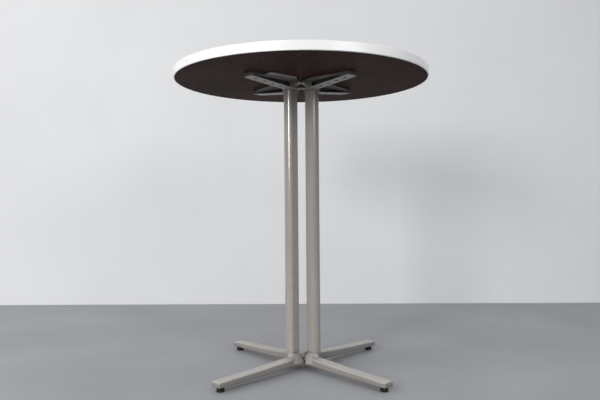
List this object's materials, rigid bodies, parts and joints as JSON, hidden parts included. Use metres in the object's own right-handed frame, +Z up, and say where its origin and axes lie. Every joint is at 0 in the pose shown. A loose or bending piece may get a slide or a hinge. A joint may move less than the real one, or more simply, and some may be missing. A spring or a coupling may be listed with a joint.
{
  "type": "pedestal table",
  "caption": "Bar-height round table with a white edge band, on twin teardrop columns with a cast X-shaped base, levelling glides and cast brackets under the top",
  "frame": {"origin": "on the floor, under the centre of the tabletop", "axes": "+Z up; +X to the right-hand column; -Y towards the viewer of the picture"},
  "size_m": [0.9144, 0.9144, 1.079],
  "materials": {
    "wood_core": "raw particleboard",
    "white_laminate": "satin",
    "brown_backer": "semi-matt backer laminate",
    "white_edge": "satin",
    "grey_paint": "satin",
    "zinc": "yellowish zinc plate",
    "steel": "plain steel",
    "black_pad": "matte"
  },
  "bodies": {
    "table": {"tabletop_core": "wood_core", "top_laminate": "white_laminate", "backer_laminate": "brown_backer", "edge_band": "white_edge", "left_top_bracket": "grey_paint", "right_top_bracket": "grey_paint", "left_bracket_screws": "zinc", "right_bracket_screws": "zinc", "bracket_studs": "steel", "bracket_stud_nuts": "zinc", "bracket_stud_washers": "zinc", "left_column": "grey_paint", "right_column": "grey_paint", "left_tie_rod": "steel", "right_tie_rod": "steel", "tie_rod_top_nuts": "zinc", "tie_rod_top_washers": "zinc", "tie_rod_base_nuts": "zinc", "tie_rod_base_washers": "zinc", "left_base_casting": "grey_paint", "right_base_casting": "grey_paint", "base_cross_bolt": "zinc", "base_cross_nut": "zinc", "base_cross_washers": "zinc", "glide_inserts": "zinc"},
    "stem_front_left": {"glide_stem_front_left": "steel"},
    "pad_front_left": {"glide_pad_front_left": "black_pad"},
    "stem_front_right": {"glide_stem_front_right": "steel"},
    "pad_front_right": {"glide_pad_front_right": "black_pad"},
    "stem_back_left": {"glide_stem_back_left": "steel"},
    "pad_back_left": {"glide_pad_back_left": "black_pad"},
    "stem_back_right": {"glide_stem_back_right": "steel"},
    "pad_back_right": {"glide_pad_back_right": "black_pad"}
  },
  "joints": [
    {"name": "level_front_left", "type": "slide", "parent": "table", "child": "stem_front_left", "axis": [0, 0, 1], "range_m": [-0.008, 0]},
    {"name": "swivel_front_left", "type": "hinge", "parent": "stem_front_left", "child": "pad_front_left", "pos_m": [-0.2632, -0.2632, 0.006], "axis": [0, 0, 1], "continuous": true},
    {"name": "level_front_right", "type": "slide", "parent": "table", "child": "stem_front_right", "axis": [0, 0, 1], "range_m": [-0.008, 0]},
    {"name": "swivel_front_right", "type": "hinge", "parent": "stem_front_right", "child": "pad_front_right", "pos_m": [0.2632, -0.2632, 0.006], "axis": [0, 0, 1], "continuous": true},
    {"name": "level_back_left", "type": "slide", "parent": "table", "child": "stem_back_left", "axis": [0, 0, 1], "range_m": [-0.008, 0]},
    {"name": "swivel_back_left", "type": "hinge", "parent": "stem_back_left", "child": "pad_back_left", "pos_m": [-0.2632, 0.2632, 0.006], "axis": [0, 0, 1], "continuous": true},
    {"name": "level_back_right", "type": "slide", "parent": "table", "child": "stem_back_right", "axis": [0, 0, 1], "range_m": [-0.008, 0]},
    {"name": "swivel_back_right", "type": "hinge", "parent": "stem_back_right", "child": "pad_back_right", "pos_m": [0.2632, 0.2632, 0.006], "axis": [0, 0, 1], "continuous": true}
  ]
}
